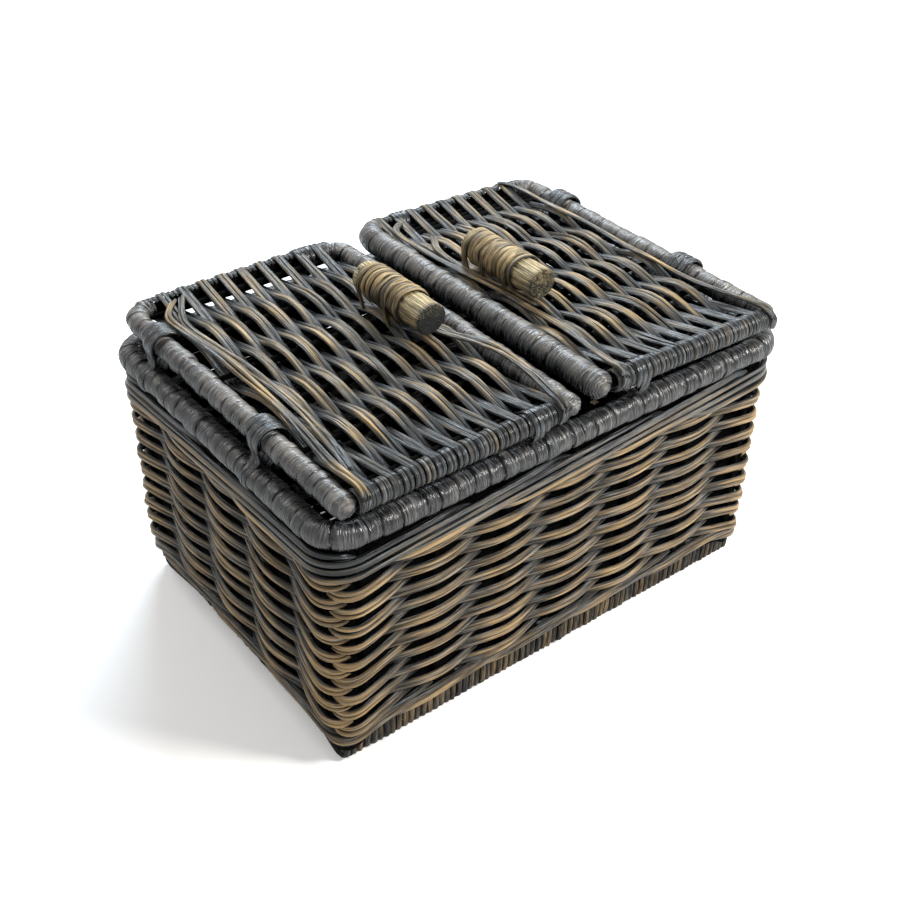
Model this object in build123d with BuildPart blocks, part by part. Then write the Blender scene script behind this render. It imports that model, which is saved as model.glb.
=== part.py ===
from build123d import *

import os
from math import cos, hypot, pi, radians, sin, sqrt

# Small willow hamper: a square-work body on a woven foot, with two wicker lids.
# The lids are hinged on the short sides by cane wound round lid rod and rim rod together.
# They meet near the middle and carry a wooden toggle each, lashed on with cane.
# Millimetres. X runs along the long side, Y from front to back, Z up, and the origin is
# on the ground under the middle of the body.

# Body
rim_length = 300.0
rim_width = 210.0
rim_height = 155.0
rim_radius = 7.0
rim_corner = 16.0
wall_inset = 2.0
stake_radius = 2.5
long_stake_count = 7
short_stake_count = 5
stake_seat = 1.0
bite = 0.25
rod_facets = 16
stick_facets = 8
cane_facets = 4

# Wall strands
strand_thick = 4.0
row_count = 13
wale_thick = 5.0
wale_height = 9.0
wale_rows = 2
border_thick = 5.0
border_height = 14.0
border_gap = 3.4
border_rows = 2
border_sway = 1.3

# Foot
foot_height = 18.0
foot_inset = 3.0
foot_edge_thick = 6.0
foot_rib_depth = 0.9
foot_rib_count = 36
foot_stick_radius = 2.1
foot_stick_count = 4
foot_strand_thick = 2.4
foot_strand_count = 8

# Lids
hinge_inset = 8.0
hinge_rise = 18.5
lid_meeting = -6.0
lid_meeting_gap = 5.0
lid_rod_radius = 6.5
left_inner_radius = 6.5
right_inner_radius = 8.0
lid_corner = 12.0
right_lid_tilt = 1.8
lid_stick_radius = 2.4
lid_stick_count = 4
lid_stick_inset = 46.5
lid_stick_seat = 3.0
lid_strand_thick = 3.4
lid_strand_count = 12
lid_hinge_gap = 7.5
lid_inner_gap = 2.0
rest_width = 9.0
rest_length = 12.0
rest_clearance = 0.3

# Toggles and their cane
toggle_radius = 9.5
toggle_length = 62.0
toggle_chamfer = 1.0
left_toggle_inset = 23.5
right_toggle_inset = 24.5
left_toggle_shift = 9.5
toggle_facets = 18
cane_radius = 1.3
cane_pitch = 7.0
cane_clearance = 0.1
cane_turn_count = 3

# Hinge windings
hinge_near_inset = 66.0
hinge_far_inset = 37.0
hinge_cane_radius = 1.4
hinge_cane_pitch = 4.2
hinge_clearance = 0.3
hinge_turn_count = 2

# Places worked out from the sizes above
wall_x = rim_length / 2 - wall_inset
wall_y = rim_width / 2 - wall_inset
wall_corner = rim_corner - wall_inset
wale_base = foot_height
weave_base = wale_base + wale_height
border_base = rim_height - rim_radius - border_gap - border_height
hinge_x = rim_length / 2 - hinge_inset
hinge_z = rim_height + hinge_rise
right_lid_end = lid_meeting + left_inner_radius + lid_meeting_gap + right_inner_radius
left_lid_length = hinge_x + lid_meeting
right_lid_length = (hinge_x - right_lid_end) / cos(radians(right_lid_tilt))
lid_width = rim_width
lid_stick_pitch = (lid_width - 2 * lid_stick_inset) / (lid_stick_count - 1)
hinge_places = (hinge_near_inset - rim_width / 2, rim_width / 2 - hinge_far_inset)
strand_sway = stake_radius + strand_thick / 2 - bite
wale_sway = stake_radius + wale_thick / 2 - bite
border_offset = stake_radius + border_thick / 2 + border_sway - bite
lid_sway = lid_stick_radius + lid_strand_thick / 2 - bite
foot_sway = foot_stick_radius + foot_strand_thick / 2 - bite
half_corner = 45.0
corner_steps = 2
samples_per_turn = 90


def side_plane(out_x, out_y, reach_x, reach_y, height):
    """A level plane whose own Y axis points out of one side of the body."""
    origin = (out_x * reach_x, out_y * reach_y, height)
    return Plane(origin=origin, x_dir=(out_y, -out_x, 0), z_dir=(0, 0, 1))


def sides():
    """Name, outward direction, half length and stake count of each wall."""
    long_half = wall_x - wall_corner
    short_half = wall_y - wall_corner
    return (
        ("front", 0, -1, long_half, long_stake_count, 1),
        ("back", 0, 1, long_half, long_stake_count, 1),
        ("left", -1, 0, short_half, short_stake_count, -1),
        ("right", 1, 0, short_half, short_stake_count, -1),
    )


def stake_places(half, count):
    return [-half + 2 * half * i / (count - 1) for i in range(count)]


def strand_outline(half, corner, count, offset, sway, thick):
    """A strand that passes outside and inside the stakes in turn, corner to corner."""
    slant = radians(half_corner)
    path = [(x, offset + sway * (-1) ** i, 0, 1) for i, x in enumerate(stake_places(half, count))]
    for end in (-1, 1):
        x = end * (half + (corner + offset) * sin(slant))
        y = (corner + offset) * cos(slant) - corner
        point = (x, y, end * sin(slant), cos(slant))
        path = [point] + path if end < 0 else path + [point]
    outer = [(x + nx * thick / 2, y + ny * thick / 2) for x, y, nx, ny in path]
    inner = [(x - nx * thick / 2, y - ny * thick / 2) for x, y, nx, ny in reversed(path)]
    return outer + inner


def woven_band(out_x, out_y, half, count, phase, base, height, rows, offset, sway, thick):
    """Rows of strands on one side of the body, each row out of step with the next."""
    step = height / rows
    with BuildPart() as band:
        for start, turn in ((0, phase), (1, -phase)):
            levels = [base + step * row for row in range(start, rows, 2)]
            planes = [side_plane(out_x, out_y, wall_x, wall_y, level) for level in levels]
            outline = strand_outline(half, wall_corner, count, offset, sway * turn, thick)
            with BuildSketch(*planes):
                with BuildLine():
                    Polyline(*outline, close=True)
                make_face()
            extrude(amount=step)
    return band.part


def stake_row(out_x, out_y, half, count):
    """The upright stakes of one side, from the foot up into the underside of the rim."""
    with BuildPart() as stakes:
        with BuildSketch(side_plane(out_x, out_y, wall_x, wall_y, foot_height)):
            with Locations(*[(place, 0) for place in stake_places(half, count)]):
                RegularPolygon(stake_radius, stick_facets)
        extrude(amount=rim_height - rim_radius + stake_seat - foot_height)
    return stakes.part


def rod_points(half, corner):
    """A straight rod with half of a bent corner at each end."""
    step = half_corner / corner_steps
    reach = corner / cos(radians(step / 2))
    bend = [(radians(step * (i + 0.5)), reach) for i in range(corner_steps)]
    bend.append((radians(half_corner), corner))
    right = [(half + r * sin(a), r * cos(a) - corner) for a, r in bend]
    left = [(-x, y) for x, y in reversed(right)]
    return left + right


def bent_rod(plane, half, corner, radius, turns=False):
    """One side of a wound hoop: it meets its neighbours on the corner's diagonal."""
    with BuildPart() as rod:
        with BuildLine(plane) as path:
            Polyline(*rod_points(half, corner))
        with BuildSketch(Plane(origin=path.line @ 0, x_dir=plane.z_dir, z_dir=path.line % 0)):
            if turns:
                Circle(radius)
            else:
                RegularPolygon(radius, rod_facets)
        sweep(path=path.line, transition=Transition.RIGHT)
    return rod.part


def foot_edge(out_y):
    """The outer foot stick with its close wrapping, ribbed on the outside."""
    length = 2 * (wall_x - foot_inset)
    step = length / foot_rib_count
    marks = range(2 * foot_rib_count + 1)
    ribs = [(-length / 2 + step * i / 2, -foot_rib_depth * (i % 2 == 0)) for i in marks]
    with BuildPart() as edge:
        with BuildSketch(side_plane(0, out_y, 0, wall_y - foot_inset, 0)):
            with BuildLine():
                Polyline(*ribs, (length / 2, -foot_edge_thick), (-length / 2, -foot_edge_thick), close=True)
            make_face()
        extrude(amount=foot_height)
    return edge.part


def mat_outline(half, places, sway, thick):
    """A weaver seen from its side, over one stick and under the next."""
    path = [(-half, 0)] + [(y, sway * (-1) ** i) for i, y in enumerate(places)]
    path.append((half, 0))
    upper = [(y, z + thick / 2) for y, z in path]
    lower = [(y, z - thick / 2) for y, z in reversed(path)]
    return upper + lower


def woven_mat(frame, near, far, strands, half, places, sway, thick):
    """Weavers side by side, across the sticks, each out of step with the next."""
    step = (far - near) / strands
    with BuildPart() as mat:
        for start, turn in ((0, 1), (1, -1)):
            planes = []
            for i in range(start, strands, 2):
                origin = frame.from_local_coords(Vector(near + step * i, 0, 0))
                planes.append(Plane(origin=origin, x_dir=frame.y_dir, z_dir=frame.x_dir))
            with BuildSketch(*planes):
                with BuildLine():
                    Polyline(*mat_outline(half, places, sway * turn, thick), close=True)
                make_face()
            extrude(amount=step)
    return mat.part


def stick_set(frame, near, far, places, radius):
    """Straight sticks side by side, along the frame's X axis."""
    origin = frame.from_local_coords(Vector(near, 0, 0))
    with BuildPart() as sticks:
        with BuildSketch(Plane(origin=origin, x_dir=frame.y_dir, z_dir=frame.x_dir)):
            with Locations(*[(place, 0) for place in places]):
                RegularPolygon(radius, stick_facets)
        extrude(amount=far - near)
    return sticks.part


def foot_parts():
    """The flat mat that the hamper stands on."""
    frame = Plane(origin=(0, 0, foot_height / 2))
    half_x = wall_x - foot_inset
    half_y = wall_y - foot_inset - foot_edge_thick
    pitch = 2 * half_y / (foot_stick_count + 1)
    places = [-half_y + pitch * (i + 1) for i in range(foot_stick_count)]
    keep("foot_sticks", stick_set(frame, -half_x, half_x, places, foot_stick_radius))
    keep("foot_weave", woven_mat(frame, -half_x, half_x, foot_strand_count, half_y, places,
                                 foot_sway, foot_strand_thick))
    keep("foot_edge_front", foot_edge(-1))
    keep("foot_edge_back", foot_edge(1))


def body_parts():
    """Stakes, wall weave, bottom wale, top border and rim, side by side."""
    weave_height = border_base - weave_base
    for name, out_x, out_y, half, count, phase in sides():
        place = (out_x, out_y, half, count, phase)
        keep("stakes_" + name, stake_row(out_x, out_y, half, count))
        keep("bottom_wale_" + name, woven_band(*place, wale_base, wale_height, wale_rows,
                                               0, wale_sway, wale_thick))
        keep("wall_weave_" + name, woven_band(*place, weave_base, weave_height, row_count,
                                              0, strand_sway, strand_thick))
        keep("top_border_" + name, woven_band(*place, border_base, border_height, border_rows,
                                              border_offset, border_sway, border_thick))
        plane = side_plane(out_x, out_y, rim_length / 2, rim_width / 2, rim_height)
        keep("rim_" + name, bent_rod(plane, half, rim_corner, rim_radius))


def biarc(start, along_start, end, along_end):
    """Two arcs that leave one point and reach the other along the given directions."""
    span = end - start
    both = along_start + along_end
    bend = 2 * (1 - along_start.dot(along_end))
    lean = span.dot(both)
    arm = (sqrt(lean * lean + bend * span.dot(span)) - lean) / bend
    middle = (start + end + (along_start - along_end) * arm) / 2
    along_middle = (end - along_end * arm - start - along_start * arm).normalized()
    TangentArc(start, middle, tangent=along_start)
    TangentArc(middle, end, tangent=along_middle)


def wind(frame, stations, radius):
    """Sweeps a cane along stations of place and direction, round the frame's Y axis."""
    marks = []
    for place, along, bent in stations:
        world_place = frame.from_local_coords(Vector(*place))
        world_along = frame.from_local_coords(Vector(*along)) - frame.origin
        marks.append((world_place, world_along.normalized(), bent))
    with BuildPart() as winding:
        with BuildLine() as path:
            for (start, along_start, bent), (end, along_end, _) in zip(marks, marks[1:]):
                if bent:
                    biarc(start, along_start, end, along_end)
                else:
                    Line(start, end)
        with BuildSketch(Plane(origin=marks[0][0], x_dir=frame.y_dir, z_dir=marks[0][1])):
            RegularPolygon(radius, cane_facets)
        sweep(path=path.line)
    return winding.part, path.line


def least_gap(line, turns, radius):
    """The least distance between neighbouring turns, less the cane's own thickness."""
    samples = turns * samples_per_turn
    half_turn = samples_per_turn // 2
    points = [line @ (i / samples) for i in range(samples + 1)]
    pairs = [(points[i] - points[j]).length for i in range(samples) for j in range(i + half_turn, samples)]
    return min(pairs) - 2 * radius


def hinge_winding(frame, middle):
    """Cane wound twice round the rim rod and the lid rod, on the frame of the rim rod."""
    radius = max(rim_radius, lid_rod_radius + hinge_clearance) + cane_clearance + hinge_cane_radius
    span = hypot(hinge_inset, hinge_rise)
    pitch = hinge_cane_pitch
    turn_length = 2 * pi * radius + 2 * span
    rise = pitch / turn_length
    quarter = pi * radius / 2
    stations = []
    travelled = 0.0
    start_y = middle - pitch * hinge_turn_count / 2
    corners = (
        (radius, span, 0, 1, True, quarter),
        (0, span + radius, -1, 0, True, quarter),
        (-radius, span, 0, -1, False, span),
        (-radius, 0, 0, -1, True, quarter),
        (0, -radius, 1, 0, True, quarter),
        (radius, 0, 0, 1, False, span),
    )
    stations.append(((radius, start_y - rise * span / 2, span / 2), (0, rise, 1), False))
    for _ in range(hinge_turn_count):
        for x, z, to_x, to_z, bent, length in corners:
            stations.append(((x, start_y + rise * travelled, z), (to_x, rise, to_z), bent))
            travelled += length
    stations.append(((radius, start_y + rise * (travelled - span / 2), span / 2), (0, rise, 1), False))
    return wind(frame, stations, hinge_cane_radius)


def hinge_parts():
    """Two windings for each lid, held fast by the rim."""
    windings = []
    for name, out_x in (("left", -1), ("right", 1)):
        slant = Vector(-out_x * hinge_inset, 0, hinge_rise).normalized()
        frame = Plane(
            origin=(out_x * rim_length / 2, 0, rim_height),
            x_dir=(slant.Z, 0, -slant.X),
            z_dir=slant,
        )
        first, line = hinge_winding(frame, hinge_places[0])
        second, _ = hinge_winding(frame, hinge_places[1])
        windings += [first, second]
        gap = least_gap(line, hinge_turn_count, hinge_cane_radius)
        print(name, "hinge winding, least gap", round(gap, 2))
    keep("hinge_windings", Part() + windings)


def toggle_winding(frame, place, height):
    """Cane round the toggle, its two ends led down into the lid beside the toggle."""
    radius = toggle_radius + cane_clearance + cane_radius
    pitch = cane_pitch
    seat = lid_sway + lid_strand_thick / 2 - cane_radius
    rise = pitch / (2 * pi * radius)
    x, y = place
    quarters = 4 * cane_turn_count + 2
    start_y = y - pitch * quarters / 8
    round_trip = ((radius, 0, 0, 1), (0, radius, -1, 0), (-radius, 0, 0, -1), (0, -radius, 1, 0))
    stations = [((x + radius, start_y - rise * (height - seat), seat), (0, rise, 1), False)]
    for i in range(quarters + 1):
        dx, dz, to_x, to_z = round_trip[i % 4]
        bent = i < quarters
        stations.append(((x + dx, start_y + pitch * i / 4, height + dz), (to_x, rise, to_z), bent))
    end_y = start_y + pitch * quarters / 4 + rise * (height - seat)
    stations.append(((x - radius, end_y, seat), (0, rise, -1), False))
    return wind(frame, stations, cane_radius)


def toggle(frame, place, height):
    """A wooden peg across the lid, its ends broken with a small chamfer."""
    x, y = place
    origin = frame.from_local_coords(Vector(x, y - toggle_length / 2, height))
    with BuildPart() as peg:
        with BuildSketch(Plane(origin=origin, x_dir=frame.x_dir, z_dir=frame.y_dir)):
            RegularPolygon(toggle_radius, toggle_facets)
        extrude(amount=toggle_length)
        ends = peg.faces().sort_by(Axis.Y)
        chamfer(ends[0].edges() + ends[-1].edges(), toggle_chamfer)
    return peg.part


def lid_rests(frame, length, inner_radius, tilt):
    """Lashed pads under the rods by the inner corners, which land on the rim."""
    reach = length - lid_corner - inner_radius
    drop = hinge_rise + (reach - rest_length) * sin(radians(tilt)) - rim_radius - rest_clearance
    with BuildPart() as rests:
        for end in (-1, 1):
            centre = frame.from_local_coords(Vector(reach - rest_length / 2, end * lid_width / 2, 0))
            with BuildSketch(Plane(origin=centre, x_dir=frame.y_dir, z_dir=frame.x_dir)):
                with Locations((0, -drop)):
                    Rectangle(rest_width, drop, align=(Align.CENTER, Align.MIN))
                Circle(lid_rod_radius - bite, mode=Mode.SUBTRACT)
            extrude(amount=rest_length / 2, both=True)
    return rests.part


def lid_parts(name, frame, length, inner_radius, toggle_place, tilt):
    """One lid, on a frame whose origin is on the hinge and whose X axis points inwards."""
    half_x = length / 2
    half_y = lid_width / 2
    middle = frame.from_local_coords(Vector(half_x, 0, 0))
    straight_x = half_x - lid_corner
    straight_y = half_y - lid_corner
    for side, out, reach, straight, radius in (
        ("hinge_rod", -frame.x_dir, half_x, straight_y, lid_rod_radius),
        ("inner_rod", frame.x_dir, half_x, straight_y, inner_radius),
        ("near_rod", -frame.y_dir, half_y, straight_x, lid_rod_radius),
        ("far_rod", frame.y_dir, half_y, straight_x, lid_rod_radius),
    ):
        plane = Plane(origin=middle + out * reach, x_dir=out.cross(frame.z_dir), z_dir=frame.z_dir)
        keep(name + "_" + side, bent_rod(plane, straight, lid_corner, radius, side == "hinge_rod"))
    places = [lid_stick_pitch * i + lid_stick_inset - half_y for i in range(lid_stick_count)]
    near = lid_rod_radius - lid_stick_seat
    far = length - inner_radius + lid_stick_seat
    keep(name + "_cross_sticks", stick_set(frame, near, far, places, lid_stick_radius))
    weave_near = lid_rod_radius + lid_hinge_gap
    weave_far = length - inner_radius - lid_inner_gap
    keep(name + "_weave", woven_mat(frame, weave_near, weave_far, lid_strand_count,
                                    half_y - lid_rod_radius + bite, places, lid_sway, lid_strand_thick))
    height = lid_sway + lid_strand_thick / 2 + 2 * cane_clearance + 2 * cane_radius + toggle_radius
    keep(name + "_toggle", toggle(frame, toggle_place, height))
    winding, line = toggle_winding(frame, toggle_place, height)
    print(name, "toggle winding, least gap", round(least_gap(line, cane_turn_count, cane_radius), 2))
    rests = lid_rests(frame, length, inner_radius, tilt)
    keep(name + "_lashings", Part() + [winding, rests])


def keep(name, piece):
    piece.label = name
    export_step(piece, "parts/" + name + ".step")


os.makedirs("parts", exist_ok=True)
foot_parts()
body_parts()
hinge_parts()
left_frame = Plane(origin=(-hinge_x, 0, hinge_z), x_dir=(1, 0, 0), z_dir=(0, 0, 1))
tilt_angle = radians(right_lid_tilt)
right_frame = Plane(
    origin=(hinge_x, 0, hinge_z),
    x_dir=(-cos(tilt_angle), 0, sin(tilt_angle)),
    z_dir=(sin(tilt_angle), 0, cos(tilt_angle)),
)
left_place = (left_lid_length - left_toggle_inset, left_toggle_shift)
right_place = (right_lid_length - right_toggle_inset, 0)
lid_parts("left_lid", left_frame, left_lid_length, left_inner_radius, left_place, 0)
lid_parts("right_lid", right_frame, right_lid_length, right_inner_radius, right_place, right_lid_tilt)
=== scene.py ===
"""Looks for the small willow hamper: each rod, rush winding, cane and peg as a strand of its own.

Sizes are in millimetres, taken from the frame where it has them, and become metres when a
mesh is made. The hamper is stained black-brown and rubbed through to tan on its high places.
"""

import bpy
import numpy as np
from numpy import arange, array, clip, cos, exp, pi, sin, sqrt, stack
from mathutils import Matrix, Vector


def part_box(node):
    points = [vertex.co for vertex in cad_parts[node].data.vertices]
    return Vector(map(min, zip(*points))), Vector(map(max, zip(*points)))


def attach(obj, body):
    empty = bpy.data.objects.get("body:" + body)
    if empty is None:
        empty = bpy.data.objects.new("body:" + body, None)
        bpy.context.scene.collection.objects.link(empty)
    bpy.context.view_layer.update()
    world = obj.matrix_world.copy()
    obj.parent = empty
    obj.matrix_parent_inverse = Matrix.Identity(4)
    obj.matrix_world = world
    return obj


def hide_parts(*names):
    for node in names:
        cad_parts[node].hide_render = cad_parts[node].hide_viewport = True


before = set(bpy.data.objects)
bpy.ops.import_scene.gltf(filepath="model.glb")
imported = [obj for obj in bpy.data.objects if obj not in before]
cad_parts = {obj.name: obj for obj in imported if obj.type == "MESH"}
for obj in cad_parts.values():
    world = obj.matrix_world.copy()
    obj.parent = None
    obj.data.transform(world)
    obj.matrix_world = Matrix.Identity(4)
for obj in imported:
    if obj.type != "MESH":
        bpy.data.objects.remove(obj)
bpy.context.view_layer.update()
scene = bpy.context.scene

PER_METRE = 1000.0
TURN = 2 * pi
UP = array((0.0, 0.0, 1.0))
SIDE_NAMES = ("front", "back", "left", "right")
random = np.random.default_rng(7)


def box_mm(node):
    """Lowest and highest corner of a node, in millimetres."""
    low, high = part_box(node)
    return array(low) * PER_METRE, array(high) * PER_METRE


def middle(node):
    """Middle of a node's box, in millimetres."""
    low, high = box_mm(node)
    return (low + high) / 2


# Sizes that the frame gives
rim_low, rim_high = box_mm("rim_front")
rim_radius = (rim_high[2] - rim_low[2]) / 2
rim_z = middle("rim_front")[2]
rim_x = box_mm("rim_right")[1][0] - rim_radius
rim_y = -rim_low[1] - rim_radius
stake_low, stake_high = box_mm("stakes_right")
stake_radius = (stake_high[0] - stake_low[0]) / 2
stake_x = middle("stakes_right")[0]
stake_y = middle("stakes_back")[1]
foot_x = box_mm("foot_weave")[1][0]
foot_y = box_mm("foot_edge_back")[1][1]
foot_top = box_mm("foot_edge_front")[1][2]
wale_low, wale_high = (corner[2] for corner in box_mm("bottom_wale_front"))
border_low, border_high = (corner[2] for corner in box_mm("top_border_front"))

# The body's woven work
ROWS_LOW = wale_high + 3.0
ROWS_HIGH = border_low - 1.6
LONG_STAKES = 7
SHORT_STAKES = 5
STAKES = 2 * (LONG_STAKES + SHORT_STAKES)
WALL_CORNER = 14.0
RIM_CORNER = 16.0
CORNER_DIP = 7.5
CORNER_REACH = 3.4
ROW_COUNT = 18
ROD_WIDE = 2.75
ROD_DEEP = 2.8
ROD_CLEARANCE = 0.3
PAIR_SPREAD = 1.42
FOOT_RISE = 3.0

# The lids' woven work
STICK_PLACES = (-58.5, -19.5, 19.5, 58.5)
STICK_RADIUS = 2.4
LID_ROD_RADIUS = 6.5
LID_CORNER = 12.0
LID_PITCH = 6.1
LID_WIDE = 3.2
LID_DEEP = 2.7
LID_SPREAD = 1.55
WRAP_DEEP = 2.0
WRAP_CORE = 4.4
WRAP_WIDE = 2.75
WRAP_SPREAD = 1.38
WRAP_STEP = 30
INNER_RADIUS = {"left_lid": 6.5, "right_lid": 8.0}
PACKING_RODS = {"left_lid": (-96.0, 96.0), "right_lid": (-96.0, 86.5, 91.5, 96.5)}

# The bark strips of each lid: places along its hinge rod, and how they are wound
HINGE_PLACES = (-39.0, 68.0)
STRIP_TURNS = 2.5
STRIP_PITCH = 3.9
STRIP_RADIUS = 9.0
RIM_HUG = 6.9
WAIST = 0.62

# The rush on the wound rods
THREAD = 1.35

# How fine the meshes are
RING_STEP = 3.5
RING_CORNER_STEP = 1.8
RUSH_STEP = 0.33
ROD_SIDES = 10
WALL_SIDES = 9
FLAT_SIDES = 8
LINING_SIDES = 6
WALE_SIDES = 12
CORE_SIDES = 14
WOUND_SIDES = 26
PEG_SIDES = 56


def in_scene(name, data):
    """A new object with this mesh, light or camera."""
    thing = bpy.data.objects.new(name, data)
    scene.collection.objects.link(thing)
    return thing


def wobble(s, waves, size, closed_length=None):
    """A smooth random wave along s, which closes on itself where a closed length is given."""
    total = np.zeros_like(s)
    for _ in range(3):
        wave = random.uniform(*waves)
        if closed_length:
            wave = closed_length / max(1, round(closed_length / wave))
        total += random.normal() * sin(TURN * s / wave + random.uniform(0, TURN))
    return total * size / sqrt(3)


def unit(vectors):
    """Vectors of the same directions, each 1 long."""
    return vectors / np.maximum(np.linalg.norm(vectors, axis=-1, keepdims=True), 1e-9)


def travelled(line):
    """Distance along a line up to each of its points."""
    steps = np.linalg.norm(np.diff(line[:, :3], axis=0), axis=1)
    return np.concatenate([[0], np.cumsum(steps)])


def smooth_line(points, step):
    """A Catmull-Rom line through the points, sampled evenly; columns past the third ride along."""
    points = np.asarray(points, float)
    padded = np.vstack([2 * points[0] - points[1], points, 2 * points[-1] - points[-2]])
    t = np.linspace(0, 1, 10, endpoint=False)[:, None]
    pieces = []
    for a, b, c, d in zip(padded, padded[1:], padded[2:], padded[3:]):
        bend = (2 * a - 5 * b + 4 * c - d) * t**2 + (3 * b - a - 3 * c + d) * t**3
        pieces.append(b + ((c - a) * t + bend) / 2)
    line = np.vstack(pieces + [points[-1:]])
    s = travelled(line)
    at = np.linspace(0, s[-1], max(5, int(round(s[-1] / step)) + 1))
    return stack([np.interp(at, s, column) for column in line.T], 1)


class Strands:
    """Collects strands into one mesh whose points know the grain, rubbing with painted shade, and tone
    of their strand.
    """

    END_TAPER = 0.6
    TIP_REACH = 0.4
    WANDER = 0.012

    def __init__(self):
        """Starts with no strands."""
        self.points, self.faces = [], []
        self.grain, self.wear, self.tone = [], [], []
        self.count = 0

    def add_points(self, points, grain, wear, tone):
        """Takes in points and what they know, and gives the first's number."""
        start = self.count
        self.points.append(points.reshape(-1, 3))
        self.grain.append(grain.reshape(-1, 3))
        self.wear.append(wear.reshape(-1))
        self.tone.append(np.full(wear.size, tone))
        self.count += wear.size
        return start

    def add(self, path, normal, wide, deep, closed=False, facing=None, crest=1.0, sides=ROD_SIDES,
            tone=None, swell=None, flute=0.07, seam=0):
        """One oval strand: deep along its normal, wide across it, rubbed pale where it faces out; a
        negative amount paints shade there.

        swell is the height of what is wound round it, flute that of its ridges, and seam the
        place where a closed strand's ends meet.
        """
        path = np.asarray(path, float)
        n = len(path)
        normal = np.broadcast_to(normal, path.shape)
        facing = normal if facing is None else np.broadcast_to(facing, path.shape)
        wide, deep, crest = (np.broadcast_to(np.asarray(v, float), (n,)) for v in (wide, deep, crest))
        rings = [np.roll(v, -seam, 0) for v in (path, normal, facing, wide, deep, crest)]
        path, normal, facing, wide, deep, crest = rings
        along, normal, across = self.directions(path, normal, closed)
        s = travelled(path)
        angle = arange(sides) * TURN / sides
        half_wide = wide[:, None] / 2
        half_deep = deep[:, None] / 2
        shape = 1 + self.flutes(s, angle, flute, closed)
        if not closed:
            shape[0] *= self.END_TAPER
            shape[-1] *= self.END_TAPER
        high = half_deep * cos(angle) * shape
        aside = half_wide * sin(angle) * shape
        if swell is not None:
            lump = swell(s[:, None], angle[None])
            high = high + lump * cos(angle)
            aside = aside + lump * sin(angle)
        points = path[:, None] + normal[:, None] * high[..., None] + across[:, None] * aside[..., None]
        turn = angle[None, :, None]
        spoke = normal[:, None] * cos(turn) + across[:, None] * sin(turn)
        # Rubbed pale where the strand faces out; a negative amount paints shade there, darker than the
        # stain.
        wear = sqrt(clip((spoke * unit(facing)[:, None]).sum(2), 0, 1)) * crest[:, None]
        tone = random.uniform(0, 1) if tone is None else tone
        place = random.uniform(0, 900)
        grain = stack([s[:, None] + place + 0 * wear, aside + place, high - place], 2)
        start = self.add_points(points, grain, wear, tone)
        self.skin(start, n, sides, closed)
        if not closed:
            for ring, way in ((0, -1), (n - 1, 1)):
                tip = path[ring] + way * along[ring] * half_deep[ring] * self.TIP_REACH
                self.close_end(start + ring * sides, sides, way, tip, grain[ring].mean(0), tone)

    @staticmethod
    def directions(path, normal, closed):
        """Directions along a strand, out of it and across it."""
        ahead = np.roll(path, -1, 0) - np.roll(path, 1, 0)
        if not closed:
            ahead[0] = path[1] - path[0]
            ahead[-1] = path[-1] - path[-2]
        along = unit(ahead)
        out = unit(normal - along * (normal * along).sum(1, keepdims=True))
        return along, out, np.cross(along, out)

    @staticmethod
    def flutes(s, angle, size, closed):
        """Uneven ridges that run along a rod and wander slowly round it."""
        total = np.zeros((len(s), len(angle)))
        for ridge in (2, 3, 4):
            wander = 0.0 if closed else random.normal(0, Strands.WANDER)
            phase = random.uniform(0, TURN)
            total += random.normal(0, size) * cos(ridge * angle[None] + phase + wander * s[:, None])
        return total

    def skin(self, start, n, sides, closed):
        """Quads between n rings of points, closed or not."""
        i = arange(n if closed else n - 1)[:, None]
        j = arange(sides)[None]
        k = (j + 1) % sides
        after = (i + 1) % n
        quads = stack([i * sides + j, after * sides + j, after * sides + k, i * sides + k], 2)
        self.faces += (quads.reshape(-1, 4) + start).tolist()

    def close_end(self, first, sides, way, tip, grain, tone, wear=0.0):
        """Triangles from a strand's end ring to its tip."""
        centre = self.add_points(tip[None], grain[None], array([wear]), tone)
        for j in range(sides):
            k = (j + 1) % sides
            pair = (first + j, first + k) if way < 0 else (first + k, first + j)
            self.faces.append((centre,) + pair)

    def build(self, name, material, body, slot, *nodes):
        """The finished mesh, riding on its body in place of its nodes."""
        points = np.vstack(self.points) / PER_METRE
        points[:, 2] = np.maximum(points[:, 2], 0)
        mesh = bpy.data.meshes.new(name)
        mesh.from_pydata(points.tolist(), [], self.faces)
        for label, kind, field, values in (
            ("grain", "FLOAT_VECTOR", "vector", np.vstack(self.grain)),
            ("wear", "FLOAT", "value", np.concatenate(self.wear)),
            ("tone", "FLOAT", "value", np.concatenate(self.tone)),
        ):
            layer = mesh.attributes.new(label, kind, "POINT")
            layer.data.foreach_set(field, values.astype(np.float32).ravel())
        mesh.polygons.foreach_set("use_smooth", [True] * len(mesh.polygons))
        mesh.materials.append(material)
        piece = in_scene(name, mesh)
        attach(piece, body)
        if nodes:
            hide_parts(*nodes)


# Materials

# Pale blue-grey fibres: partly scuffed dust and wax, partly painted glints on the dark stain
SCUFF_AND_GLINT_COLOUR = "8b98a3"
NOISE_SPAN = (0.35, 0.65)
SCUFF_AND_GLINT_FROM = 0.55


def colour(text):
    """An sRGB hex value as linear red, green, blue and alpha."""
    parts = [int(text[i:i + 2], 16) / 255 for i in (0, 2, 4)]
    return tuple(p / 12.92 if p <= 0.04045 else ((p + 0.055) / 1.055) ** 2.4 for p in parts) + (1.0,)


def add_node(tree, kind, settings, *links):
    """Adds a node with its settings and (socket, output) links, and gives its outputs."""
    node = tree.nodes.new("ShaderNode" + kind)
    for key, value in settings.items():
        if isinstance(key, str) and hasattr(node, key):
            setattr(node, key, value)
        else:
            node.inputs[key].default_value = value
    for socket, output in links:
        tree.links.new(output, node.inputs[socket])
    return node.outputs


def empty_tree(owner):
    """The node tree of a new material or world, with nothing in it."""
    owner.use_nodes = True
    owner.node_tree.nodes.clear()
    return owner.node_tree


def known(tree, name):
    """What each point knows under a name."""
    return add_node(tree, "Attribute", {"attribute_name": name})


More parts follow.
